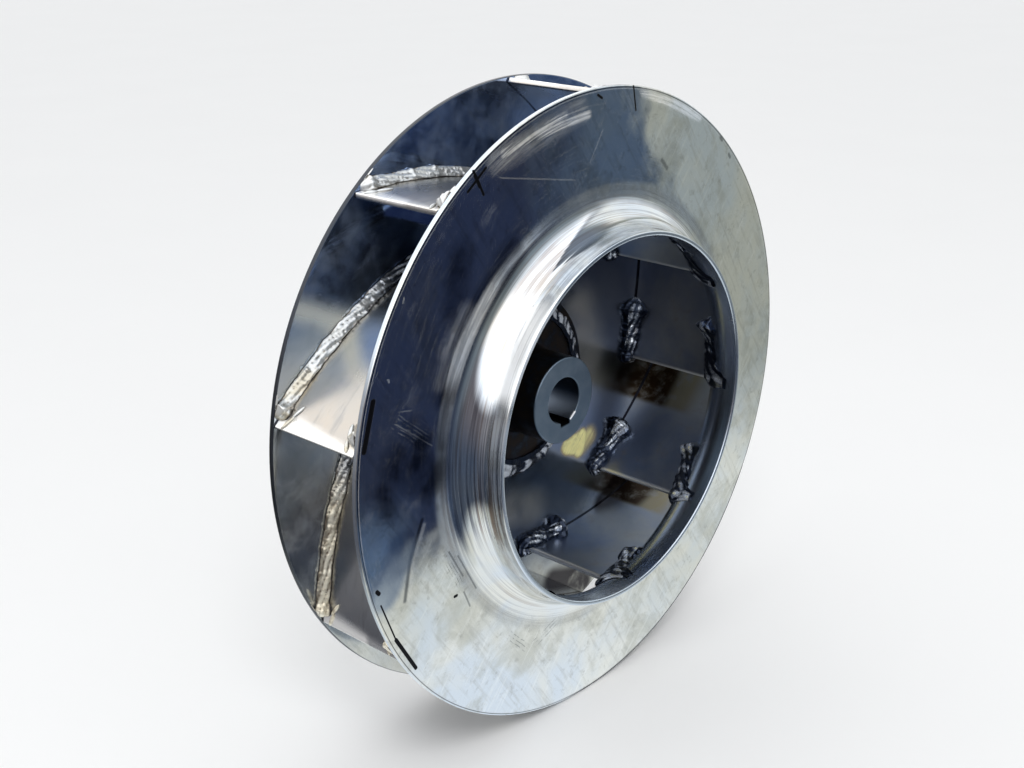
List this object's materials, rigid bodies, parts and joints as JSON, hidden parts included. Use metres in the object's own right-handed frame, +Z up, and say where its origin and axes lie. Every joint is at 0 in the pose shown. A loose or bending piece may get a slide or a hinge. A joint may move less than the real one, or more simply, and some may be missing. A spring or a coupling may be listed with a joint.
{
  "type": "centrifugal fan wheel",
  "caption": "Closed centrifugal fan wheel of welded polished stainless sheet: back plate, backward-curved blades, front shroud with a spun inlet neck, and a hub with a keyed bore.",
  "frame": {"origin": "on the wheel's axis at the rear face of the hub, where the bore opens to the shaft", "axes": "+Y along the axis towards the drive side, the inlet faces -Y, +Z up as the wheel stands in the picture, +X to the right seen from the inlet"},
  "size_m": [0.63, 0.162, 0.63],
  "materials": {
    "polished_sheet": "polished stainless sheet, blurred mirror with fine spinning lines and smudges",
    "blade_sheet": "polished stainless sheet, slightly duller, with grinding marks beside the welds",
    "turned_steel": "fine turned, matt",
    "weld_metal": "lumpy bright weld bead"
  },
  "bodies": {
    "root": {"back_plate": "polished_sheet", "front_shroud": "polished_sheet", "hub": "turned_steel", "hub_disc": "turned_steel", "hub_weld_front": "weld_metal", "hub_weld_rear": "weld_metal", "blade_1": "blade_sheet", "blade_2": "blade_sheet", "blade_3": "blade_sheet", "blade_4": "blade_sheet", "blade_5": "blade_sheet", "blade_6": "blade_sheet", "blade_7": "blade_sheet", "blade_8": "blade_sheet", "blade_9": "blade_sheet", "back_weld_1": "weld_metal", "back_weld_2": "weld_metal", "back_weld_3": "weld_metal", "back_weld_4": "weld_metal", "back_weld_5": "weld_metal", "back_weld_6": "weld_metal", "back_weld_7": "weld_metal", "back_weld_8": "weld_metal", "back_weld_9": "weld_metal", "shroud_weld_1": "weld_metal", "shroud_weld_2": "weld_metal", "shroud_weld_3": "weld_metal", "shroud_weld_4": "weld_metal", "shroud_weld_5": "weld_metal", "shroud_weld_6": "weld_metal", "shroud_weld_7": "weld_metal", "shroud_weld_8": "weld_metal", "shroud_weld_9": "weld_metal"}
  },
  "joints": []
}
